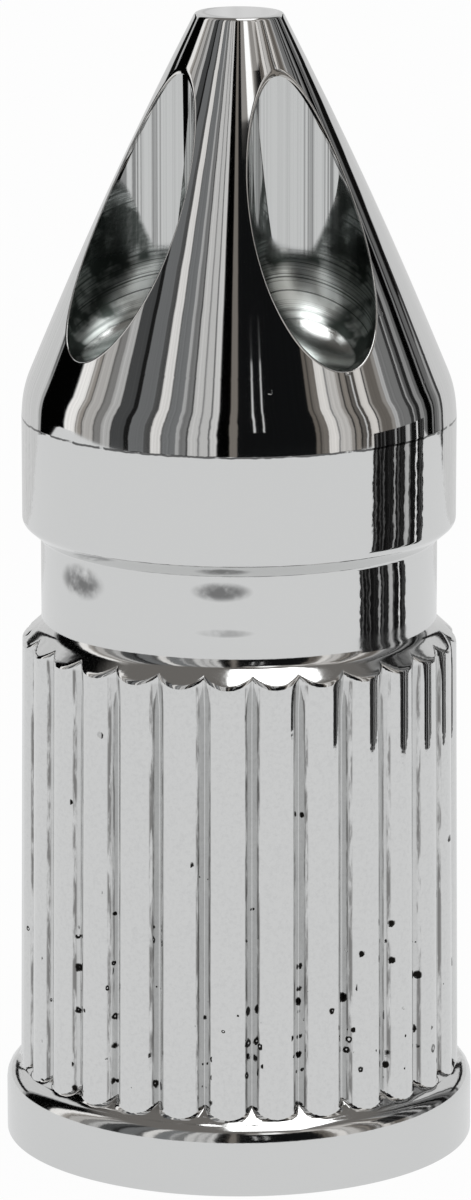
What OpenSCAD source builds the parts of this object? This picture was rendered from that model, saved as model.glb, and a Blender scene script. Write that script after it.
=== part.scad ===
// Tyre valve cap: a turned and plated metal cap with a base flange, a ribbed grip barrel,
// a neck, a collar and a conical spike with four milled scoops. A rubber washer inside seals
// against the end of the valve stem. The origin is the middle of the underside, +Z points up
// along the axis, and all lengths are in millimetres.

/* [Base flange] */
// Diameter of the base flange
flange_d = 12; // [11.8:0.1:14]
// Height of the flange, from the underside to the foot of the barrel
flange_h = 1.85; // [1.2:0.05:3]
// Radius of the flange's upper edge
flange_edge_r = 0.5; // [0.1:0.05:0.6]

/* [Grip barrel] */
// Diameter over the ribs at the foot of the barrel
barrel_d = 11.3; // [11.2:0.05:11.6]
// How much smaller the diameter over the ribs is at the shoulder
barrel_taper = 0.22; // [0.1:0.02:0.4]
// Height of the barrel, from the flange to its upper edge
barrel_h = 11.3; // [10:0.1:16]
// Number of ribs round the barrel
rib_count = 28; // [24:1:32]
// Radius of a rib's rounded crest
rib_r = 0.8; // [0.75:0.05:1.1]
// Angle of the first rib round the axis
rib_turn = 9.9; // [0:0.1:15]
// Radius that breaks the upper edge of the barrel
barrel_edge_r = 0.3; // [0.1:0.05:0.35]

/* [Neck and shoulder] */
// Diameter of the neck
neck_d = 10.06; // [9.6:0.02:10.3]
// Height of the sloping shoulder between the barrel and the neck
shoulder_h = 0.45; // [0.35:0.05:0.8]
// Height of the neck, from the shoulder to the collar's chamfer
neck_h = 2.1; // [1.2:0.1:4]
// Radius of the fillet at the foot of the neck
neck_fillet_r = 0.6; // [0.2:0.05:0.8]

/* [Collar] */
// Diameter of the collar
collar_d = 11; // [10.7:0.02:11.4]
// Height of the collar, up to the foot of the spike
collar_h = 3.4; // [2.5:0.1:5]
// Height of the chamfer under the collar
chamfer_h = 0.4; // [0.2:0.05:0.8]
// Radius that breaks the collar's lower edge
collar_edge_r = 0.3; // [0.1:0.05:0.4]

/* [Spike] */
// Height of the spike, from the collar to the flat tip
spike_h = 9.5; // [8:0.25:14]
// Radius that rounds the change from the collar to the spike
spike_foot_r = 5.4; // [2:0.2:6]
// Height of the middle of the spike's swelling side above its foot
swell_rise = 5.55; // [5:0.05:6]
// Diameter there, before the side is rounded
swell_d = 6.26; // [6.1:0.02:6.4]
// Radius of the long arc of the spike's side
side_r = 110; // [60:5:110]
// Diameter of the tip before its edge is rounded
tip_d = 2.16; // [1.6:0.04:2.6]
// Radius of the tip's edge
tip_edge_r = 0.3; // [0.1:0.05:0.4]

/* [Scoops] */
// Radius of each scoop's upright wall
scoop_r = 1.58; // [1.4:0.02:1.7]
// Distance of a scoop's middle from the axis
scoop_place = 3.34; // [3.2:0.02:3.5]
// Height above the spike's foot at which the wall runs into the floor
scoop_rise = 3.9; // [3.6:0.1:4.4]
// Radius of the floor, which sweeps down and outward from the wall
scoop_floor_r = 2.75; // [2.5:0.05:3]
// Angle of the first pair of scoops round the axis. The other pair stands opposite
pair_turn = 79.4; // [0:0.2:90]
// Angle between the two scoops of a pair
pair_angle = 86; // [80:1:90]

/* [Valve thread] */
// Outer diameter of the valve stem's thread
stem_d = 7.7; // [7.5:0.05:7.8]
// Running clearance on that diameter
thread_clearance = 0.1; // [0.05:0.01:0.2]
// Depth of the bore, from the underside to the washer's seat
bore_h = 9.6; // [7:0.1:10.5]
// Height of the countersink at the mouth
mouth_h = 0.5; // [0.2:0.05:0.8]

/* [Sealing washer] */
// Outer diameter of the rubber washer
washer_d = 8.1; // [8:0.02:8.2]
// Thickness of the washer
washer_h = 1.3; // [1:0.1:1.6]
// Diameter of the washer's hole
washer_hole_d = 3; // [2.4:0.1:3.6]
// Clearance round the washer and under it in its seat
washer_clearance = 0.04; // [0.02:0.01:0.08]
// Point angle of the drill that made the bore
drill_angle = 118; // [90:1:135]
// Diameter of that drill
drill_d = 6.8; // [6.4:0.05:7]

/* [Hidden] */
// Sides of the round forms, and steps of each rounded corner
round_sides = 96;
corner_steps = 6;
// Extra length that lets a cutter pass clean through a face
pass = 1;
// How far the ribs run down into the flange
rib_bury = 0.6;
// How far the barrel's outline stays outside its ribs
rib_margin = 0.02;

flange_r = flange_d / 2;
neck_r = neck_d / 2;
collar_r = collar_d / 2;
barrel_r = barrel_d / 2;
barrel_top_r = barrel_r - barrel_taper / 2;
barrel_lean = atan(barrel_taper / 2 / barrel_h);

barrel_top_z = flange_h + barrel_h;
neck_z = barrel_top_z + shoulder_h;
chamfer_z = neck_z + neck_h;
collar_z = chamfer_z + chamfer_h;
spike_z = collar_z + collar_h;
top_z = spike_z + spike_h;
scoop_back = scoop_place - scoop_r;
scoop_z = spike_z + scoop_rise;

bore_r = (stem_d + thread_clearance) / 2;
mouth_r = bore_r + mouth_h;
washer_seat_r = washer_d / 2 + washer_clearance;
washer_z = bore_h + washer_clearance;
seat_top_z = washer_z + washer_h;
drill_r = drill_d / 2;
drill_point_h = drill_r / tan(drill_angle / 2);

// Points of the arc that rounds corner b, between its neighbours a and c, with radius r
function corner(a, b, c, r) =
    let (u = (a - b) / norm(a - b))
    let (v = (c - b) / norm(c - b))
    let (half = acos(u * v) / 2)
    let (centre = b + (u + v) / norm(u + v) * r / sin(half))
    let (from = b + u * r / tan(half) - centre)
    let (to = b + v * r / tan(half) - centre)
    let (start = atan2(from.y, from.x))
    let (sweep = (atan2(to.y, to.x) - start + 540) % 360 - 180)
    [for (i = [0:corner_steps])
        centre + r * [cos(start + sweep * i / corner_steps), sin(start + sweep * i / corner_steps)]];

// An outline of points [radius, height, corner radius], with each corner rounded by its own
function rounded(p) =
    [for (i = [0:len(p) - 1])
        let (b = [p[i][0], p[i][1]])
        let (before = p[(i + len(p) - 1) % len(p)])
        let (after = p[(i + 1) % len(p)])
        each p[i][2] == 0 ? [b]
            : corner([before[0], before[1]], b, [after[0], after[1]], p[i][2])];

// Turned form without the barrel's ribs: flange, neck, collar and cone
module turned_form() {
    rotate_extrude($fn = round_sides)
        polygon(rounded([
            [0, 0, 0],
            [flange_r, 0, 0],
            [flange_r, flange_h, flange_edge_r],
            [neck_r, flange_h, 0],
            [neck_r, chamfer_z, 0],
            [collar_r, collar_z, collar_edge_r],
            [collar_r, spike_z, spike_foot_r],
            [swell_d / 2, spike_z + swell_rise, side_r],
            [tip_d / 2, top_z, tip_edge_r],
            [0, top_z, 0],
        ]));
}

// One long rib with a round crest, leaning in by the barrel's taper
module rib() {
    translate([barrel_r - rib_r, 0, flange_h])
        rotate([0, -barrel_lean, 0])
            translate([0, 0, -rib_bury])
                cylinder(r = rib_r, h = rib_bury + barrel_h + shoulder_h + pass, $fn = 48);
}

// Outline that ends the ribs: a rounded upper edge, the sloping shoulder and its fillet
module shoulder_form() {
    rotate_extrude($fn = round_sides)
        polygon(rounded([
            [0, flange_h - rib_bury / 2, 0],
            [barrel_r + rib_margin, flange_h - rib_bury / 2, 0],
            [barrel_top_r + rib_margin, barrel_top_z, barrel_edge_r],
            [neck_r, neck_z, neck_fillet_r],
            [neck_r, chamfer_z - pass / 2, 0],
            [0, chamfer_z - pass / 2, 0],
        ]));
}

module grip_barrel() {
    intersection() {
        for (i = [0:rib_count - 1])
            rotate([0, 0, rib_turn + i * 360 / rib_count])
                rib();
        shoulder_form();
    }
}

// Space that a scoop takes: an upright round wall, ended by a floor that curves outward
module scoop_space() {
    intersection() {
        translate([scoop_place, 0, spike_z])
            cylinder(r = scoop_r, h = spike_h + pass, $fn = round_sides);
        union() {
            translate([scoop_back + scoop_floor_r, 0, scoop_z])
                rotate([90, 0, 0])
                    cylinder(r = scoop_floor_r, h = 4 * scoop_r, center = true, $fn = round_sides);
            translate([scoop_back - pass, -2 * scoop_r, scoop_z])
                cube([2 * scoop_floor_r, 4 * scoop_r, spike_h]);
        }
    }
}

module scoops() {
    for (side = [0, 180], half = [-1, 1])
        rotate([0, 0, pair_turn + side + half * pair_angle / 2])
            scoop_space();
}

// Threaded bore at its root diameter, countersunk mouth, washer seat and drill point
module valve_bore() {
    translate([0, 0, -pass])
        cylinder(r = bore_r, h = bore_h + 2 * pass, $fn = round_sides);
    translate([0, 0, -pass])
        cylinder(r1 = mouth_r + pass, r2 = bore_r, h = mouth_h + pass, $fn = round_sides);
    translate([0, 0, bore_h])
        cylinder(r = washer_seat_r, h = seat_top_z - bore_h, $fn = round_sides);
    translate([0, 0, seat_top_z])
        cylinder(r1 = drill_r, r2 = 0, h = drill_point_h, $fn = round_sides);
}

module cap_body() {
    color("silver")
        difference() {
            union() {
                turned_form();
                grip_barrel();
            }
            scoops();
            valve_bore();
        }
}

module seal_washer() {
    color("dimgray")
        translate([0, 0, washer_z])
            difference() {
                cylinder(d = washer_d, h = washer_h, $fn = round_sides);
                translate([0, 0, -pass])
                    cylinder(d = washer_hole_d, h = washer_h + 2 * pass, $fn = round_sides);
            }
}

cap_body();
seal_washer();
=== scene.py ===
import math

import bmesh
import bpy
from mathutils import Matrix, Vector


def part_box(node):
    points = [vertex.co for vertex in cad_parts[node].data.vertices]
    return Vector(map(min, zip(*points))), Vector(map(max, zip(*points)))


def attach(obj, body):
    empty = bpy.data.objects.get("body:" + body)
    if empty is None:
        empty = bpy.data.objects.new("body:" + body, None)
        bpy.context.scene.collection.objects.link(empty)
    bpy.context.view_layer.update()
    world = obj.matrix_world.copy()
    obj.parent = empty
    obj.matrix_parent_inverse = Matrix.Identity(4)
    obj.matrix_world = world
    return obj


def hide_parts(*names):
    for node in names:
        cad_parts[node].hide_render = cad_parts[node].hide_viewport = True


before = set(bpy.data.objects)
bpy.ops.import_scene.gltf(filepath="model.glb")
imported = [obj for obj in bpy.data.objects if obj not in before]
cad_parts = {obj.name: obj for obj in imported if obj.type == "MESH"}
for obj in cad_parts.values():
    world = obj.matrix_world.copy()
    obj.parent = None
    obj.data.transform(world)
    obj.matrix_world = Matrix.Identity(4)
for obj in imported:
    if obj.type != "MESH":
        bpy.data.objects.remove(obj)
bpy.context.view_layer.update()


# Camera: a long lens in front of the cap and a little above its middle, so that the tip's
# flat face and the top of the flange both show
MM = 0.001
camera_elevation = math.radians(13.2)
camera_distance = 161
camera_aim = Vector((-0.09, 0, 13.95))
focal_share = 5.27
sensor_size = 36
nearest_seen = 0.005
farthest_seen = 50

lens = bpy.data.cameras.new("camera")
lens.sensor_width = sensor_size
lens.lens = focal_share * sensor_size
lens.clip_start = nearest_seen
lens.clip_end = farthest_seen
camera = bpy.data.objects.new("camera", lens)
towards_camera = Vector((0, -math.cos(camera_elevation), math.sin(camera_elevation)))
camera.location = (camera_aim + towards_camera * camera_distance) * MM
camera.rotation_euler = towards_camera.to_track_quat("Z", "Y").to_euler()
bpy.context.scene.collection.objects.link(camera)
bpy.context.scene.camera = camera
bpy.context.scene.view_settings.view_transform = "Standard"


# Surroundings: a bright table, and a room whose windows, walls and dark furniture show as
# stripes in the plated cone. The room is a pattern over directions, so it is the same for
# every point of view.
class Wire:
    """A socket of a shader tree. Arithmetic on it adds Math nodes."""

    def __init__(self, tree, socket=None):
        self.tree = tree
        self.socket = socket

    def node(self, kind, settings=None, inputs=None, output=0):
        made = self.tree.nodes.new(kind)
        for name, value in (settings or {}).items():
            if name == "stops":
                ramp = made.color_ramp
                ramp.interpolation = "LINEAR"
                for place, colour in value[2:]:
                    ramp.elements.new(place)
                for element, (place, colour) in zip(ramp.elements, value):
                    element.position = place
                    element.color = (*colour, 1)
            else:
                setattr(made, name, value)
        for key, value in (inputs or {}).items():
            if isinstance(value, Wire):
                self.tree.links.new(value.socket, made.inputs[key])
            else:
                made.inputs[key].default_value = value
        return Wire(self.tree, made.outputs[output] if made.outputs else None)

    def math(self, operation, *values):
        return self.node("ShaderNodeMath", {"operation": operation}, dict(enumerate(values)))

    def __add__(self, other):
        return self.math("ADD", self, other)

    __radd__ = __add__

    def __sub__(self, other):
        return self.math("SUBTRACT", self, other)

    def __rsub__(self, other):
        return self.math("SUBTRACT", other, self)

    def __mul__(self, other):
        return self.math("MULTIPLY", self, other)

    __rmul__ = __mul__

    def __truediv__(self, other):
        return self.math("DIVIDE", self, other)

    def __rtruediv__(self, other):
        return self.math("DIVIDE", other, self)

    def step(self, low, high):
        """0 below low, 1 above high and smooth between them"""
        return self.node(
            "ShaderNodeMapRange",
            {"interpolation_type": "SMOOTHSTEP"},
            {"Value": self, "From Min": low, "From Max": high},
        )

    def band(self, low, high, soft):
        """1 between low and high, with soft edges"""
        return self.step(low - soft, low + soft) * (1 - self.step(high - soft, high + soft))

    def bands(self, ranges):
        """1 inside any of several ranges that lie apart, each a low end, high end and softness"""
        total, *others = [self.band(*one) for one in ranges]
        for other in others:
            total = total + other
        return total

    def parts(self):
        """The three numbers of a vector"""
        return [
            self.node("ShaderNodeSeparateXYZ", None, {"Vector": self}, axis) for axis in range(3)
        ]

    def mix(self, factor, first, second):
        """A colour between first, where factor is 0, and second, where it is 1"""
        return self.node(
            "ShaderNodeMix",
            {"data_type": "RGBA"},
            {"Factor": factor, 6: first, 7: second},
            2,
        )


def grey(level, warmth=0.0):
    """The colour that shows as level, from 0 to 255, with a little red or blue in it"""
    linear = (level / 255) ** 2.2
    return (linear * (1 + warmth), linear, linear * (1 - warmth), 1)


white = (1, 1, 1, 1)
degrees = 180 / math.pi

# Share of the light that the plating gives back
plate_share = 0.74

# Stripes of the room from left to right, seen from the cap: the direction round the axis, in
# degrees, where each ends, how bright it shows in the plating, and how warm it is
room_stripes = [
    (-132, 190, 0), (-129, 150, 0), (-105.4, 9, 0), (-104.6, 120, 0), (-96, 224, 0.02),
    (-95.2, 110, 0.05), (-93.8, 168, 0.05), (-91.5, 132, 0.08), (-90.7, 70, 0.05),
    (-83, 164, 0.03), (-82, 90, 0.03), (-77.5, 118, 0.02), (-71.5, 166, 0.01), (-70.8, 40, 0),
    (-63, 68, -0.02), (-60, 30, 0), (-51, 102, -0.02), (-47.4, 74, 0), (-41.5, 206, 0.02),
    (-40.6, 90, 0), (-33.5, 108, -0.02), (-31.5, 158, 0), (-27.8, 112, 0), (-26.9, 50, 0),
    (-21.6, 182, 0.01), (-20.8, 110, 0), (-16.4, 178, 0.01), (-15.4, 84, 0), (-11.6, 190, 0.01),
    (-5, 7, 0), (-1, 106, 0.1), (41, 23, -0.06), (43, 92, 0.12), (44, 60, 0.1), (48, 100, 0.1),
    (53.6, 204, 0.03), (54.6, 120, 0), (61, 176, 0.03), (63, 134, 0.06), (64, 40, 0),
    (67, 118, 0.1), (68, 40, 0.05), (70.5, 84, 0.08), (71.3, 190, 0), (73.4, 66, 0.1),
    (78.4, 196, 0.04), (79.4, 50, 0), (81, 140, 0.06), (88, 92, 0.1), (90.6, 130, 0.06),
    (93.6, 160, 0), (102.6, 110, 0), (105.4, 52, 0), (106.4, 150, 0), (108.5, 84, 0),
    (111.5, 38, 0), (115, 130, 0), (117.4, 96, 0), (123, 10, 0), (124.4, 120, 0), (126, 36, 0),
    (129, 96, 0), (131.6, 116, 0), (134, 150, 0), (137, 60, 0), (180, 190, 0),
]
first_edge = -180
stripe_blur = 0.25
ramp_overlap = 0.1
stops_in_ramp = 30
ripple_degrees = 1.5
stops = []
start = first_edge
for end, level, warmth in room_stripes:
    colour = [share / plate_share for share in grey(level, warmth)[:3]]
    stops.append((start + stripe_blur, colour))
    stops.append((end - stripe_blur, colour))
    start = end

world = bpy.data.worlds.new("room")
bpy.context.scene.world = world
world.use_nodes = True
world.node_tree.nodes.clear()
room = Wire(world.node_tree)
looking = room.node("ShaderNodeTexCoord", None, None, "Generated")
across, along, height = looking.parts()
ripple = room.node("ShaderNodeTexNoise", None, {
    "Vector": looking, "Scale": 9.0, "Detail": 4.0}, "Fac")
azimuth = room.math("ARCTAN2", across, along * -1) * degrees
azimuth = azimuth + (ripple - 0.5) * ripple_degrees
stripes = None
for first in range(0, len(stops), stops_in_ramp - 2):
    group = stops[first:first + stops_in_ramp]
    low, high = group[0][0], group[-1][0]
    share = (azimuth - low) / (high - low)
    ramp = room.node("ShaderNodeValToRGB", {
        "stops": [((place - low) / (high - low), colour) for place, colour in group],
    }, {0: share})
    if stripes is None:
        stripes = ramp
        continue
    begun = azimuth.step(low - ramp_overlap, low + ramp_overlap)
    stripes = room.mix(begun, stripes, ramp)

# Two dark shelves behind the cap, one on each side. Each range is a low end, a high end and
# the softness of both, in degrees round the axis or as a share of straight up.
shelf_reach = (130, 163, 1.5)
shelf_heights = (0.14, 0.24, 0.008)
shelf_colour = grey(24, 0.04)
shelves = room.math("ABSOLUTE", azimuth).band(*shelf_reach) * height.band(*shelf_heights)
stripes = room.mix(shelves, stripes, shelf_colour)

# Fine streaks that run through all the stripes
streak_dark = 0.55
streak_contrast = 0.86
streaks = room.node("ShaderNodeTexNoise", {"noise_dimensions": "1D"}, {
    "W": azimuth, "Scale": 0.75, "Detail": 5.0, "Roughness": 0.75}, "Fac")
stripes = room.node("ShaderNodeVectorMath", {"operation": "SCALE"}, {
    0: stripes, "Scale": streak_dark + streaks * streak_contrast})

# Above the dark stripe of the camera in front: a pale wall with duller parts and one bright
# part
wall_foot = 0.675
wall_foot_blur = 0.006
wall_reach = (4, 71, 0.5)
dull_reaches = [(4, 12.8, 0.4), (27, 37, 0.5), (49, 54, 0.5)]
bright_reach = (13.3, 24.6, 0.4)
wall_colour = grey(204, 0.04)
dull_colour = grey(154, 0.05)
bright_colour = (1.35, 1.35, 1.35, 1)
above = height.step(wall_foot - wall_foot_blur, wall_foot + wall_foot_blur)
pale_wall = room.mix(azimuth.bands(dull_reaches), wall_colour, dull_colour)
pale_wall = room.mix(azimuth.band(*bright_reach), pale_wall, bright_colour)
wall_above = room.mix(above * azimuth.band(*wall_reach), stripes, pale_wall)

# Two upright glints in the camera's glass
glint_reaches = [(7.5, 8.6, 0.3), (13, 13.8, 0.3)]
glint_heights = (0.2, 0.565, 0.01)
glint_colour = (0.75, 0.75, 0.75, 1)
glints = azimuth.bands(glint_reaches) * height.band(*glint_heights)
with_glints = room.mix(glints, wall_above, glint_colour)

# The ceiling, and the bright window in it that lies a little to the right. The window's
# ranges are shares of its height above the cap.
ceiling_from = 0.72
ceiling_full = 0.84
ceiling_colour = grey(112, 0.06)
window_across = (-0.06, 0.45, 0.02)
window_along = (-0.46, 0.2, 0.03)
window_from = 0.6
window_full = 0.65
window_colour = (2.6, 2.6, 2.6, 1)
ceiling = room.mix(height.step(ceiling_from, ceiling_full), with_glints, ceiling_colour)
window = (across / height).band(*window_across) * (along / height).band(*window_along)
window = window * height.step(window_from, window_full)
with_window = room.mix(window, ceiling, window_colour)
rays = room.node("ShaderNodeLightPath", None, None, "Is Camera Ray")
seen_room = room.mix(rays, with_window, white)
light = room.node("ShaderNodeBackground", None, {"Color": seen_room, "Strength": 1.0})
room.node("ShaderNodeOutputWorld", None, {"Surface": light})


def patch(mesh, columns, rows, place):
    """A grid of faces whose point at column i and row j lies at place(i, j)"""
    made = bmesh.ops.create_grid(mesh, x_segments=columns, y_segments=rows, size=0.5)
    for vert in made["verts"]:
        i = round((vert.co.x + 0.5) * columns)
        j = round((vert.co.y + 0.5) * rows)
        vert.co = place(i, j)
    return made["verts"]


def add_object(name, mesh):
    """Turns a finished mesh in millimetres into an object at the origin"""
    bmesh.ops.scale(mesh, vec=(MM, MM, MM), verts=mesh.verts)
    data = bpy.data.meshes.new(name)
    mesh.to_mesh(data)
    mesh.free()
    data.shade_smooth()
    made = bpy.data.objects.new(name, data)
    bpy.context.scene.collection.objects.link(made)
    return made


def new_material(name):
    """An empty material, and the wire that adds its nodes"""
    material = bpy.data.materials.new(name)
    material.use_nodes = True
    material.node_tree.nodes.clear()
    return material, Wire(material.node_tree)


# Table: a white sheet of paper that the cap stands on. It is far wider than the view, but
# only the part near the cap shows in the plating, so that the room shows past it.
table_size = 3000
table_level = 207
table_warmth = -0.006
sheet_back = 60
back_blur = 2
sheet_reach = 200
reach_blur = 9
glow_share_seen = 0.97
glow_share_reflected = 0.85
paper_low = (0.8, 0.8, 0.8, 1)
paper_high = (0.86, 0.86, 0.86, 1)
table_mesh = bmesh.new()
patch(table_mesh, 2, 2, lambda i, j: Vector((i - 1, j - 1, 0)) * table_size)
table = add_object("table", table_mesh)
material, paper = new_material("white_paper")
grain = paper.node("ShaderNodeTexNoise", None, {"Scale": 900.0, "Detail": 3.0}, "Fac")
shade = paper.mix(grain, paper_low, paper_high)
surface = paper.node("ShaderNodeBsdfDiffuse", None, {"Color": shade})
glow = paper.node("ShaderNodeEmission", None, {"Color": white, "Strength": 1.0})
lit_paper = paper.node("ShaderNodeEmission", None, {
    "Color": grey(table_level, table_warmth), "Strength": 1 / plate_share})
camera_ray = paper.node("ShaderNodeLightPath", None, None, "Is Camera Ray")
glossy_ray = paper.node("ShaderNodeLightPath", None, None, "Is Glossy Ray")
seen = paper.node("ShaderNodeMixShader", None, {0: glow_share_seen, 1: surface, 2: glow})
reflected = paper.node("ShaderNodeMixShader", None, {
    0: glow_share_reflected, 1: surface, 2: lit_paper})
near_cap = paper.node("ShaderNodeMixShader", None, {0: glossy_ray, 1: surface, 2: reflected})
spot = paper.node("ShaderNodeTexCoord", None, None, "Object")
from_cap = paper.node("ShaderNodeVectorMath", {"operation": "LENGTH"}, {0: spot}, "Value")
behind_cap = spot.parts()[1]
past_back = behind_cap.step((sheet_back - back_blur) * MM, (sheet_back + back_blur) * MM)
past_reach = from_cap.step((sheet_reach - reach_blur) * MM, (sheet_reach + reach_blur) * MM)
on_sheet = (1 - past_back) * (1 - past_reach)
beyond = (1 - on_sheet) * glossy_ray
clear = paper.node("ShaderNodeBsdfTransparent")
ended = paper.node("ShaderNodeMixShader", None, {0: beyond, 1: near_cap, 2: clear})
chosen = paper.node("ShaderNodeMixShader", None, {0: camera_ray, 1: ended, 2: seen})
paper.node("ShaderNodeOutputMaterial", None, {"Surface": chosen})
table.data.materials.append(material)


# Reflection card: a dark upright sheet with a few bright slits, to the right of the cap and
# outside the view. It puts the dark streaks on the right of the collar, neck and ribs.
card_distance = 26
card_front = -10.5
card_back = 6.5
card_foot = 5.5
card_height = 13
card_darkest = 0.006
card_streaks = 0.12
black = (0, 0, 0, 1)
# Each slit: its low end, high end and softness along the card, and its brightness
card_slits = [((-4.1, -3.6, 0.1), 0.35), ((-0.6, 0.9, 0.15), 0.45), ((3.3, 3.8, 0.1), 0.9)]
card_mesh = bmesh.new()
patch(card_mesh, 1, 1, lambda i, j: Vector((
    card_distance,
    card_front + (card_back - card_front) * i,
    card_foot + card_height * j,
)))
card = add_object("dark_card", card_mesh)
material, sheet = new_material("dark_card")
here = sheet.node("ShaderNodeTexCoord", None, None, "Object")
card_along = here.parts()[1] / MM
streak = sheet.node("ShaderNodeTexNoise", {"noise_dimensions": "1D"}, {
    "W": card_along, "Scale": 1.3, "Detail": 4.0}, "Fac")
card_light = streak.step(0.45, 0.75) * card_streaks + card_darkest
for slit, brightness in card_slits:
    card_light = card_light + card_along.band(*slit) * brightness
card_colour = sheet.mix(card_light, black, white)
glow = sheet.node("ShaderNodeEmission", None, {"Color": card_colour, "Strength": 1.0})
sheet.node("ShaderNodeOutputMaterial", None, {"Surface": glow})
card.data.materials.append(material)
card.visible_camera = False
card.visible_diffuse = False
card.visible_shadow = False


# Cap body: turned from one bar of aluminium, with a grip of round ribs, four scoops cut by a
# round cutter fed down and outward, and a tapped bore from below, then plated bright all over
low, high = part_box("cap_body")
cap_height = (high.z - low.z) / MM
flange_r = (high.x - low.x) / 2 / MM
flange_h = 1.85
flange_edge_r = 0.5
foot_edge_r = 0.06
barrel_r = 5.65
barrel_top_r = 5.54
barrel_top_z = 12.98
barrel_edge_r = 0.3
rib_count = 28
rib_r = 0.8
rib_turn = 9.9
groove_half = 0.15
groove_slope = 0.8
groove_round = 0.05
groove_fade = 0.7
valley_crowding = 0.8
pocket_rise = 0.36
pocket_foot_r = 5.63
pocket_top_r = 5.2
pocket_ease = 0.05
pocket_rows = 10
pocket_row_foot = 0.02
pocket_row_gap = 0.038
flange_ease = 0.06
shoulder_ease = 0.03
neck_r = 5.03
neck_z = 13.47
neck_fillet_r = 0.4
neck_step_z = neck_z + 0.6
chamfer_z = 15.7
chamfer_r = 0.12
collar_r = 5.5
collar_z = 16.1
collar_edge_r = 0.25
edge_z = 18.82
edge_r = 0.04
cone_z = 19.5
foot_r = 5.452
cone_foot_r = 2.6
swell_r = 3.13
swell_z = 25.05
cone_side_r = 110
tip_r = 1.1
tip_edge_r = 0.12
scoop_r = 1.58
scoop_place = 3.34
scoop_z = cone_z + 3.65
pair_turn = 79.4
pair_angle = 86
lip_width = 0.04
mouth_r = 4.4
mouth_h = 0.5
thread_r = 3.9
thread_depth = 0.42
thread_pitch = 25.4 / 32
thread_end = 9.6
thread_run_in = 1.2
thread_run_out = 0.4
ridge_slope = 2.6
ridge_root = 0.15
seat_r = 4.09
seat_end = 10.94
drill_r = 3.4
drill_half_angle = math.radians(59)
drill_end = seat_end + drill_r / math.tan(drill_half_angle)
rib_margin = 0.02
flange_gap = 0.35
barrel_gap = 1.1
shoulder_gap = 0.08
collar_gap = 0.4
tip_gap = 0.25
least_gap = 0.05
merge_distance = 0.0004
columns_per_rib = 14
columns = rib_count * columns_per_rib


def rounded(outline, steps=6):
    """Points of an outline of (radius, height, corner radius), with its corners rounded"""
    points = []
    for i, (x, y, corner) in enumerate(outline):
        here = Vector((x, y))
        if not corner:
            points.append(here)
            continue
        before = (Vector(outline[i - 1][:2]) - here).normalized()
        after = (Vector(outline[i + 1][:2]) - here).normalized()
        half = before.angle(after) / 2
        middle = here + (before + after).normalized() * corner / math.sin(half)
        start = here + before * corner / math.tan(half) - middle
        end = here + after * corner / math.tan(half) - middle
        for step in range(steps + 1):
            points.append(middle + start.slerp(end, step / steps) * corner)
    return points


def spaced(points, gap):
    """The same outline, with points added so that none are further apart than gap"""
    out = [points[0]]
    for before, after in zip(points, points[1:]):
        count = max(1, math.ceil((after - before).length / gap))
        out.extend(before.lerp(after, step / count) for step in range(1, count + 1))
    return out


def blend(first, second, soft):
    """The smaller of two numbers, eased where they are closer than soft"""
    share = max(soft - abs(first - second), 0) / soft
    return min(first, second) - share * share * soft / 4


def polar(radius, turn, height):
    """A point from its distance from the axis, its angle round it in degrees and its height"""
    turn = math.radians(turn)
    return Vector((radius * math.cos(turn), radius * math.sin(turn), height))


rib_step = 360 / rib_count


def rib_share(i):
    """How far column i lies across its rib, from 0 to 1, closer together at the valleys"""
    share = i % columns_per_rib / columns_per_rib
    return share - valley_crowding * math.sin(2 * math.pi * share) / (2 * math.pi)


def rib_angle(i):
    """Angle of column i round the barrel, in degrees"""
    return rib_turn + rib_step * (i // columns_per_rib + rib_share(i) - 0.5)


def rib_radius(i, height):
    """Distance of the ribbed wall from the axis at column i"""
    crest = barrel_r + (barrel_top_r - barrel_r) * (height - flange_h) / (barrel_top_z - flange_h)
    centre = crest - rib_r
    off = math.radians(rib_step * (rib_share(i) - 0.5))
    radius = centre * math.cos(off) + math.sqrt(rib_r**2 - (centre * math.sin(off)) ** 2)
    from_groove = radius * math.radians(rib_step / 2) - abs(off) * radius
    from_groove = math.hypot(from_groove, groove_round) - groove_round
    depth = groove_slope * min(1, max(0, (barrel_top_z - height) / groove_fade))
    radius -= depth * max(0, groove_half - from_groove)
    rise = max(0, height - flange_h)
    pocket = pocket_foot_r - (pocket_foot_r - pocket_top_r) * rise / pocket_rise
    return -blend(-radius, -pocket, pocket_ease)


# Columns on the cone: the scoops stand in two pairs, and each scoop has the same number of
# columns on both sides, up to halfway to its neighbours
near_half = pair_angle / 2
far_half = 90 - near_half
scoops = [
    (pair_turn - near_half, far_half, near_half),
    (pair_turn + near_half, near_half, far_half),
    (pair_turn + 180 - near_half, far_half, near_half),
    (pair_turn + 180 + near_half, near_half, far_half),
]
side_columns = columns // len(scoops) // 2


def cone_angle(i):
    """Angle of column i on the plain part of the cone"""
    whole, i = divmod(i, columns)
    scoop, column = divmod(i, side_columns * 2)
    turn, before, after = scoops[scoop]
    off = column / side_columns - 1
    return 360 * whole + turn + off * (before if off < 0 else after)


first_column = round((pair_turn - 90 - rib_turn + rib_step / 2) / 360 * columns)
body = bmesh.new()

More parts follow.
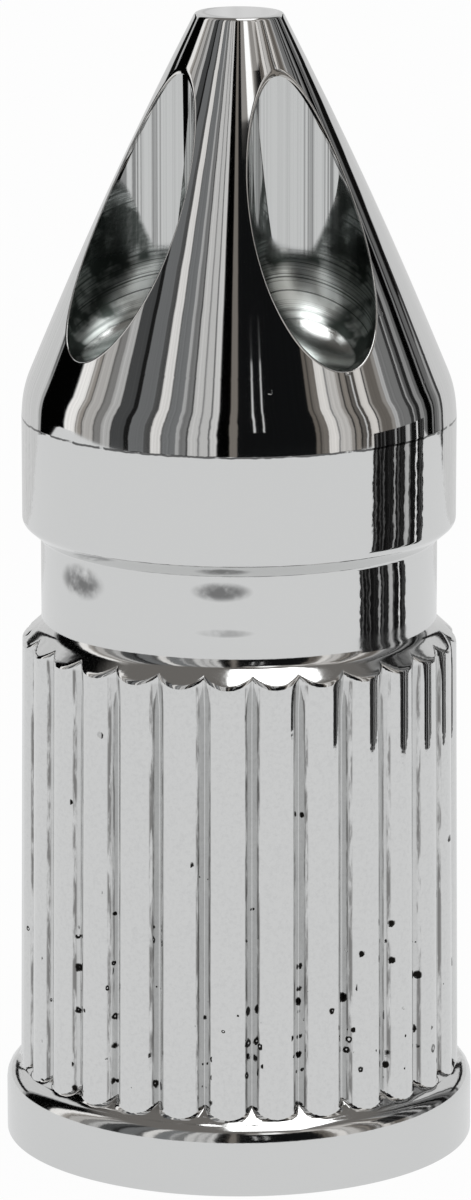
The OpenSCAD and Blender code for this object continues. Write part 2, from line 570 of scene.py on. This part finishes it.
# Flange, barrel and shoulder, from the edge of the underside to the lower part of the neck
flange_outline = rounded([
    (mouth_r, 0, 0),
    (flange_r, 0, foot_edge_r),
    (flange_r, flange_h, flange_edge_r),
    (neck_r, flange_h, 0),
])[1:-1]
flange_points = spaced(flange_outline, flange_gap)
pocket_foot = flange_h + pocket_row_foot
barrel_points = [
    Vector((flange_r, pocket_foot + pocket_row_gap * step)) for step in range(pocket_rows + 1)
]
barrel_points += spaced([
    Vector((flange_r, flange_h + 0.6)),
    Vector((flange_r, barrel_top_z - groove_fade)),
    Vector((flange_r, barrel_top_z - 0.4)),
], barrel_gap)
shoulder_points = spaced(rounded([
    (barrel_top_r + rib_margin, barrel_top_z - 0.35, 0),
    (barrel_top_r + rib_margin, barrel_top_z, barrel_edge_r),
    (neck_r, neck_z, neck_fillet_r),
    (neck_r, neck_step_z, 0),
]), shoulder_gap)
lower_rows = flange_points + barrel_points + shoulder_points


def lower_place(i, j):
    radius, height = lower_rows[j]
    wall = rib_radius(i, height)
    if j < len(flange_points):
        radius = -blend(-radius, -wall, flange_ease)
    else:
        radius = blend(radius, wall, shoulder_ease)
    return polar(radius, rib_angle(i), height)


patch(body, columns, len(lower_rows) - 1, lower_place)

# Neck, chamfer and collar, up to the foot of the scoops. The columns turn from the ribs'
# places to the cone's on the plain neck.
turning_rows = 5
side_outline = rounded([
    (neck_r, neck_step_z, 0),
    (neck_r, chamfer_z, chamfer_r),
    (collar_r, collar_z, collar_edge_r),
    (collar_r, edge_z, edge_r),
    (foot_r, cone_z, cone_foot_r),
    (swell_r, swell_z, cone_side_r),
    (tip_r, cap_height, tip_edge_r),
    (0, cap_height, 0),
], 7)


def cone_radius(height):
    """Radius of the collar and the cone at a height, from their outline"""
    for before, after in zip(side_outline, side_outline[1:]):
        if after.y >= height:
            return before.lerp(after, (height - before.y) / (after.y - before.y)).x
    return 0


foot_start = cone_z + 1.1
upper_outline = [point for point in side_outline if point.y < foot_start - least_gap]
upper_outline.append(Vector((cone_radius(foot_start), foot_start)))
upper_outline = spaced(upper_outline, collar_gap)


def upper_place(i, j):
    radius, height = upper_outline[j]
    turned = min(1, j / turning_rows)
    plain = cone_angle(i - first_column)
    return polar(radius, rib_angle(i) * (1 - turned) + plain * turned, height)


patch(body, columns, len(upper_outline) - 1, upper_place)


# Scoops: the edge of a cutter on the cone, found for a cutter of a given radius and a cone
# that is let in by a given depth, so that two such edges bound the thin broken lip
def edge_angle(height, cutter, depth):
    """Angle between the scoop's middle and its edge at a height, in degrees"""
    out = cone_radius(height) - depth
    share = (out**2 + scoop_place**2 - cutter**2) / (2 * out * scoop_place)
    return math.degrees(math.acos(max(-1, min(1, share))))


halvings = 60


def edge_end(cutter, depth, low_side):
    """Height at which the scoop's edge closes at its foot or at its top"""
    inside = scoop_z
    outside = cone_z if low_side else cap_height - tip_edge_r
    for _ in range(halvings):
        middle = (inside + outside) / 2
        if edge_angle(middle, cutter, depth) > 0:
            inside = middle
        else:
            outside = middle
    return inside


bowl_rows = 30
wall_rows = 34
scoop_rows = bowl_rows + wall_rows
pocket_columns = 36
nothing = 1e-6


def edge_height(j, ends):
    """Height of the edge at row j, closer together at both ends"""
    if j <= bowl_rows:
        return scoop_z - (scoop_z - ends[0]) * math.sin(math.pi / 2 * (1 - j / bowl_rows))
    return scoop_z + (ends[1] - scoop_z) * math.sin(math.pi / 2 * (j - bowl_rows) / wall_rows)


class Lip:
    """One edge of the scoops: the cutter's radius, and how deep below the cone it lies"""

    def __init__(self, cutter, depth):
        self.cutter = cutter
        self.depth = depth
        self.ends = edge_end(cutter, depth, True), edge_end(cutter, depth, False)

    def at(self, j, side):
        height = edge_height(j, self.ends)
        angle = edge_angle(height, self.cutter, self.depth)
        if j in (0, scoop_rows):
            angle = 0
        return angle, height, polar(cone_radius(height) - self.depth, side * angle, height)


outer_lip = Lip(scoop_r + lip_width, 0)
corner_lip = Lip(scoop_r + lip_width * 0.3, lip_width * 0.35)
inner_lip = Lip(scoop_r, lip_width * 1.1)
lips = [outer_lip, corner_lip, inner_lip]
scoop_back = scoop_place - scoop_r
scoop_foot_point = inner_lip.at(0, 1)[2]


def pocket_place(i, j):
    """A point of the cut surface, on the arc from one edge through the scoop's middle"""
    side = i / pocket_columns * 2 - 1
    edge = inner_lip.at(j, 1)[2]
    chord = Vector((edge.x, 0, edge.z))
    spine = Vector((scoop_back, 0, edge.z))
    if j < bowl_rows:
        turn = math.pi / 2 * (1 - j / bowl_rows)
        spine.x = scoop_foot_point.x - (scoop_foot_point.x - scoop_back) * math.cos(turn)
        spine.z = scoop_z - (scoop_z - scoop_foot_point.z) * math.sin(turn)
    rise = (spine - chord).length
    if rise < nothing or edge.y < nothing:
        return chord.lerp(spine, 0 if edge.y < nothing and j else 1)
    inward = (spine - chord) / rise
    radius = (rise**2 + edge.y**2) / (2 * rise)
    centre = spine - inward * radius
    reach = edge - centre
    swing = math.atan2(reach.y, reach.dot(inward))
    return centre + radius * (
        inward * math.cos(side * swing) + Vector((0, 1, 0)) * math.sin(side * swing))


scoop_foot = outer_lip.ends[0]
scoop_top = outer_lip.ends[1]
foot_rows = 1
tip_outline = [Vector((cone_radius(scoop_top), scoop_top))]
tip_outline += [point for point in side_outline if point.y > scoop_top + least_gap]
tip_outline = spaced(tip_outline, tip_gap)
cone_rows = foot_rows + scoop_rows + len(tip_outline) - 1


def cone_place(side, half_sector):
    """Places of the cone's plain part on one side of a scoop, out to the sector's edge"""

    def place(i, j):
        lip_angle = 0
        if j <= foot_rows:
            height = foot_start + (scoop_foot - foot_start) * j / foot_rows
            radius = cone_radius(height)
        elif j <= foot_rows + scoop_rows:
            lip_angle, height, _ = outer_lip.at(j - foot_rows, side)
            radius = cone_radius(height)
        else:
            radius, height = tip_outline[j - foot_rows - scoop_rows]
        share = i / side_columns
        angle = half_sector + (lip_angle - half_sector) * share
        return polar(radius, side * angle, height)

    return place


def lip_place(side):
    """Places of the broken lip on one side of a scoop"""

    def place(i, j):
        return lips[i].at(j, side)[2]

    return place


for turn, before, after in scoops:
    placed = []
    for side, half_sector in ((-1, before), (1, after)):
        placed += patch(body, side_columns, cone_rows, cone_place(side, half_sector))
        placed += patch(body, len(lips) - 1, scoop_rows, lip_place(side))
    placed += patch(body, pocket_columns, scoop_rows, pocket_place)
    bmesh.ops.rotate(body, verts=placed, matrix=Matrix.Rotation(math.radians(turn), 3, "Z"))

# Underside, countersunk mouth, thread, washer seat and drill point. Every fourth column of
# the flange goes on into the bore.
bore_step = 4
bore_columns = columns // bore_step


def under_place(i, j):
    if j == 0:
        return polar(flange_points[0].x, rib_angle(i), 0)
    return polar(mouth_r, rib_angle(i // bore_step * bore_step), 0)


patch(body, columns, 1, under_place)
thread_steps = 100
thread_rows = [
    mouth_h + (thread_end - mouth_h) * j / thread_steps for j in range(thread_steps + 1)
]
bore_rows = [(mouth_r, 0), (thread_r, mouth_h)]
bore_rows += [(thread_r, height) for height in thread_rows[1:]]
bore_rows += [(seat_r, thread_end), (seat_r, seat_end), (drill_r, seat_end), (0, drill_end)]


def bore_place(i, j):
    radius, height = bore_rows[j]
    turn = rib_angle(i * bore_step)
    if 1 < j <= thread_steps:
        phase = (height / thread_pitch - turn / 360) % 1
        ridge = min(1, max(0, (0.5 - abs(phase - 0.5)) * ridge_slope - ridge_root))
        start = (height - mouth_h) / thread_run_in
        end = (thread_end - height) / thread_run_out
        radius -= thread_depth * ridge * max(0, min(1, start, end))
    return polar(radius, turn, height)


patch(body, bore_columns, len(bore_rows) - 1, bore_place)

bmesh.ops.remove_doubles(body, verts=body.verts, dist=merge_distance)
bmesh.ops.dissolve_degenerate(body, dist=merge_distance / 40, edges=body.edges)
bmesh.ops.recalc_face_normals(body, faces=body.faces)
open_edges = sum(1 for edge in body.edges if len(edge.link_faces) != 2)
print("cap body", len(body.verts), "points", len(body.faces), "faces", open_edges, "open edges")
cap_body = add_object("cap_body_plated", body)

material, plate = new_material("bright_plate")
spot = plate.node("ShaderNodeTexCoord", None, None, "Object")
spot = plate.node("ShaderNodeVectorMath", {"operation": "SCALE"}, {0: spot, "Scale": 1 / MM})
spot_x, spot_y, spot_z = spot.parts()
from_axis = plate.math("SQRT", spot_x * spot_x + spot_y * spot_y)
turn = plate.math("ARCTAN2", spot_y, spot_x) * degrees

# The scoops: each point's place in the nearest one, from the middle of the cutter's path
folded = plate.math("WRAP", turn - pair_turn, 90, -90)
from_scoop = (plate.math("ABSOLUTE", folded) - near_half) * (1 / degrees)
out_along = from_axis * plate.math("COSINE", from_scoop)
aside = from_axis * plate.math("SINE", from_scoop)
out_from_path = out_along - scoop_place
from_path = plate.math("SQRT", out_from_path * out_from_path + aside * aside)
in_scoop = 1 - from_path.step(scoop_r - 0.01, scoop_r + 0.03)
in_scoop = in_scoop * spot_z.step(cone_z, cone_z + 0.1)

# The brushed floor, painted with a dark reflection of the room, reaches up the wall least at
# low_aside, and steeply beyond it
low_aside = 0.75
floor_low_z = scoop_z - 0.02
floor_bow = 0.4
floor_side_rise = 1.5
floor_blur = 0.2
off_low = aside - low_aside
floor_edge = floor_low_z + off_low * off_low * floor_bow
floor_edge = floor_edge + aside.step(0.8, 1.5) * floor_side_rise
floor = (1 - (spot_z - floor_edge).step(-floor_blur, floor_blur)) * in_scoop

# Tool marks of the floor lie in planes that dip outward, some deep and some faint
tool_dip = 0.42
pass_height = spot_z + out_along * tool_dip
marks = plate.node("ShaderNodeTexNoise", {"noise_dimensions": "1D"}, {
    "W": pass_height, "Scale": 15.0, "Detail": 5.0, "Roughness": 0.75}, "Fac")
patches = plate.node("ShaderNodeTexNoise", None, {
    "Vector": spot, "Scale": 1.1, "Detail": 3.0}, "Fac")
# A painted highlight along the tool marks, strongest in a soft spot on the floor, over the painted
# dark reflection
shine_middle = 0.45
shine_width = 1.05
shine_z = 22.2
shine_rise = 0.85
shine_aside = (aside - shine_middle) / shine_width
shine_up = (spot_z - shine_z) / shine_rise
shine = 1 - (shine_aside * shine_aside + shine_up * shine_up).step(0.1, 1.0)
painted_brushed_highlight = marks.step(0.32, 0.56) * (patches.step(0.46, 0.6) * 0.45 + shine * 1.4)
floor_painted_reflection = (0.06, 0.072, 0.066, 1)
floor_painted_highlight = (0.95, 1.0, 0.98, 1)
floor_painted_light = plate.mix(painted_brushed_highlight, floor_painted_reflection, floor_painted_highlight)

# The lowest part of the floor is smooth and bright. It keeps nearly the plating's own colour
# in place of the painted dark reflection and highlight.
puddle_top = 22.64
puddle_blur = 0.05
puddle_colour = (0.7, 0.72, 0.71, 1)
puddle = 1 - (pass_height + patches * 0.06).step(puddle_top, puddle_top + puddle_blur)
floor_painted_light = plate.mix(puddle, floor_painted_light, puddle_colour)

# Fine upright dark streaks at both sides of the wall
side_streaks = plate.node("ShaderNodeTexNoise", {"noise_dimensions": "1D"}, {
    "W": aside, "Scale": 5.5, "Detail": 4.0, "Roughness": 0.7}, "Fac")
wall_share = side_streaks.step(0.46, 0.58) * (aside * aside + 0.2).step(0.0, 1.0) * in_scoop

# Grooves: painted shade along both sides of the valleys between the ribs, broken up by noise,
# and fainter painted shade over the valleys
groove_shade_width = 0.05
valley_blur = 0.04
rib_off = plate.math("WRAP", turn - rib_turn, rib_step / 2, -rib_step / 2)
from_valley = (rib_step / 2 - plate.math("ABSOLUTE", rib_off)) * from_axis * (1 / degrees)
on_barrel = spot_z.band(flange_h + 0.1, barrel_top_z, 0.05)
long_spot = plate.node("ShaderNodeCombineXYZ", None, {
    "X": spot_x * 3, "Y": spot_y * 3, "Z": spot_z * 0.45})
groove_shade_noise = plate.node("ShaderNodeTexNoise", None, {
    "Vector": long_spot, "Scale": 1.6, "Detail": 5.0, "Roughness": 0.65}, "Fac")
groove_edge = plate.math("ABSOLUTE", from_valley - groove_half)
groove_painted_shade = (1 - groove_edge.step(0.015, groove_shade_width)) * groove_shade_noise.step(0.4, 0.58) * on_barrel
valley_painted_shade = 1 - from_valley.step(groove_half - valley_blur, groove_half + valley_blur / 2)
valley_painted_shade = valley_painted_shade * on_barrel

# Pits: small holes in the plating, most of them low down in the grooves. Each cell of a
# pattern has room for one pit, and its three random numbers say if there is one, how big it
# is, and if its middle gets a painted highlight.
pits_per_mm = 2.6
low_chance = 0.12
low_valley_chance = 0.9
high_valley_chance = 0.05
many_pits_z = 2.5
few_pits_z = 9.5
least_pit = 0.07
pit_spread = 0.3
pit_cells = plate.node("ShaderNodeTexVoronoi", None, {
    "Vector": spot, "Scale": pits_per_mm, "Randomness": 1.0}, "Distance")
pit_seed = plate.node("ShaderNodeTexVoronoi", None, {
    "Vector": spot, "Scale": pits_per_mm, "Randomness": 1.0}, "Color").parts()
in_valley = 1 - from_valley.step(0.16, 0.34)
low_down = 1 - spot_z.step(many_pits_z, few_pits_z)
pit_chance = (in_valley * low_valley_chance + low_chance) * low_down * on_barrel
pit_chance = pit_chance + in_valley * on_barrel * high_valley_chance
pit_size = pit_seed[1] * pit_seed[1] * pit_spread + least_pit
chosen_pit = (pit_seed[0] + pit_chance).step(0.995, 1.0)
pit_ragged = plate.node("ShaderNodeTexNoise", None, {
    "Vector": spot, "Scale": 7.0, "Detail": 2.0}, "Fac")
pit_reach = (pit_cells + (pit_ragged - 0.5) * 0.3) / pit_size
pits = chosen_pit * (1 - pit_reach.step(0.7, 1.0))
# A painted highlight in the middle of some pits
pit_highlights = chosen_pit * (1 - pit_reach.step(0.15, 0.35)) * pit_seed[2].step(0.4, 0.5)

# Neck: smudges of a grey film
smudge_noise = plate.node("ShaderNodeTexNoise", None, {
    "Vector": spot, "Scale": 2.2, "Detail": 4.0}, "Fac")


def smudge(angle, width, middle, rise):
    """A soft spot at an angle round the neck, in degrees, and a height"""
    off = (turn - angle) / width
    up = (spot_z - middle) / rise
    return 1 - (off * off + up * up).step(0.1, 1.0)


left_smudge = smudge(-142, 11, 15.14, 0.5)
front_smudge = smudge(-95, 9.5, 15.32, 0.28)
faint_smudge = smudge(-94, 9, 14.27, 0.12) * 0.5
smudges = (left_smudge + front_smudge + faint_smudge) * smudge_noise.step(0.22, 0.6)

# Foot of the cone: a thin dark line along the top edge of the collar, broken here and there
line_wander = 0.1
line_foot = edge_z - 0.045
line_top = edge_z + 0.01
line_blur = 0.012
jag = plate.node("ShaderNodeTexNoise", None, {"Vector": spot, "Scale": 2.8, "Detail": 4.0}, "Fac")
foot_line = (spot_z + (jag - 0.5) * line_wander).band(line_foot, line_top, line_blur)
foot_line = foot_line * jag.step(0.3, 0.44)

# Colours: the clean plating, what lies on it or is cut into it, and painted shade, painted
# highlights and a painted dark reflection
plate_colour = (plate_share, plate_share * 1.005, plate_share, 1)
valley_shade_colour = (0.4, 0.4, 0.4, 1)
mottle_colour = (0.4, 0.4, 0.41, 1)
groove_shade_colour = (0.1, 0.095, 0.09, 1)
smudge_colour = (0.14, 0.14, 0.14, 1)
line_colour = (0.03, 0.03, 0.03, 1)
scoop_shade_colour = (0.46, 0.48, 0.47, 1)
side_streak_colour = (0.1, 0.1, 0.1, 1)
pit_colour = (0.012, 0.011, 0.01, 1)
pit_highlight_colour = (0.9, 0.9, 0.9, 1)
mottle = plate.node("ShaderNodeTexNoise", None, {
    "Vector": spot, "Scale": 9.0, "Detail": 4.0, "Roughness": 0.7}, "Fac")
# Painted shade in the valleys, random mottling of the plating, then painted shade along the
# grooves
body_shade = plate.mix(valley_painted_shade * (groove_shade_noise * 0.5 - 0.05), plate_colour, valley_shade_colour)
body_shade = plate.mix(mottle.step(0.4, 0.75) * on_barrel * 0.16, body_shade, mottle_colour)
body_shade = plate.mix(groove_painted_shade * 0.75, body_shade, groove_shade_colour)
body_shade = plate.mix(smudges * 0.88, body_shade, smudge_colour)
body_shade = plate.mix(foot_line * 0.85, body_shade, line_colour)
# Painted shade over the whole of each scoop
body_shade = plate.mix(in_scoop * 0.3, body_shade, scoop_shade_colour)
body_shade = plate.mix(wall_share * 0.75, body_shade, side_streak_colour)
body_shade = plate.mix(floor, body_shade, floor_painted_light)
body_shade = plate.mix(pits, body_shade, pit_colour)
body_shade = plate.mix(pit_highlights, body_shade, pit_highlight_colour)

# Finish: like a mirror, duller on the scoops' floor, in the pits and on the turned rings over
# the shoulder and the flange, and a little uneven everywhere below the cone
mirror_roughness = 0.04
floor_roughness = 0.24
puddle_smoothing = 0.16
pit_roughness = 0.3
ring_roughness = 0.05
shoulder_ring = (12.75, 13.95, 0.08)
flange_ring = (1.25, 1.95, 0.08)
peel_height = 0.6
pit_depth = 3
mark_height = 0.8
relief_strength = 0.25
relief_distance = 0.02
rings = spot_z.bands([shoulder_ring, flange_ring])
floor_finish = floor * (floor_roughness - puddle * puddle_smoothing)
finish = mirror_roughness + floor_finish + pits * pit_roughness + rings * ring_roughness
peel = plate.node("ShaderNodeTexNoise", None, {"Vector": spot, "Scale": 2.4, "Detail": 2.0}, "Fac")
on_cone = spot_z.step(edge_z - 0.1, edge_z)
relief = peel * (1 - on_cone) * peel_height - pits * pit_depth + marks * floor * mark_height
bumps = plate.node("ShaderNodeBump", None, {
    "Height": relief, "Strength": relief_strength, "Distance": relief_distance * MM})
metal = plate.node("ShaderNodeBsdfPrincipled", None, {
    "Base Color": body_shade, "Metallic": 1.0, "Roughness": finish, "Normal": bumps})
plate.node("ShaderNodeOutputMaterial", None, {"Surface": metal})
cap_body.data.materials.append(material)
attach(cap_body, "root")
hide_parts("cap_body")


# Sealing washer: a flat ring punched from black rubber sheet and pressed into its seat above
# the thread, where the end of the valve stem meets it
washer_low, washer_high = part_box("seal_washer")
washer_r = (washer_high.x - washer_low.x) / 2 / MM
washer_hole_r = 1.5
washer_foot = washer_low.z / MM
washer_top = washer_high.z / MM
washer_edge_r = 0.12
washer_columns = 96
outline_start_r = washer_hole_r + 0.6
rubber_dark = (0.018, 0.018, 0.019, 1)
rubber_light = (0.04, 0.04, 0.042, 1)
washer_outline = rounded([
    (outline_start_r, washer_foot, 0),
    (washer_r, washer_foot, washer_edge_r),
    (washer_r, washer_top, washer_edge_r),
    (washer_hole_r, washer_top, washer_edge_r),
    (washer_hole_r, washer_foot, washer_edge_r),
    (outline_start_r, washer_foot, 0),
], 4)
washer_mesh = bmesh.new()
patch(washer_mesh, washer_columns, len(washer_outline) - 1, lambda i, j: polar(
    washer_outline[j].x, i * 360 / washer_columns, washer_outline[j].y))
bmesh.ops.remove_doubles(washer_mesh, verts=washer_mesh.verts, dist=merge_distance)
bmesh.ops.recalc_face_normals(washer_mesh, faces=washer_mesh.faces)
washer = add_object("seal_washer_rubber", washer_mesh)
material, rubber = new_material("washer_rubber")
spot = rubber.node("ShaderNodeTexCoord", None, None, "Object")
specks = rubber.node("ShaderNodeTexNoise", None, {
    "Vector": spot, "Scale": 4000.0, "Detail": 4.0}, "Fac")
rubber_shade = rubber.mix(specks, rubber_dark, rubber_light)
bumps = rubber.node("ShaderNodeBump", None, {
    "Height": specks, "Strength": 0.3, "Distance": 0.05 * MM})
soft = rubber.node("ShaderNodeBsdfPrincipled", None, {
    "Base Color": rubber_shade, "Roughness": 0.62 + specks * 0.2, "Normal": bumps})
rubber.node("ShaderNodeOutputMaterial", None, {"Surface": soft})
washer.data.materials.append(material)
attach(washer, "root")
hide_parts("seal_washer")
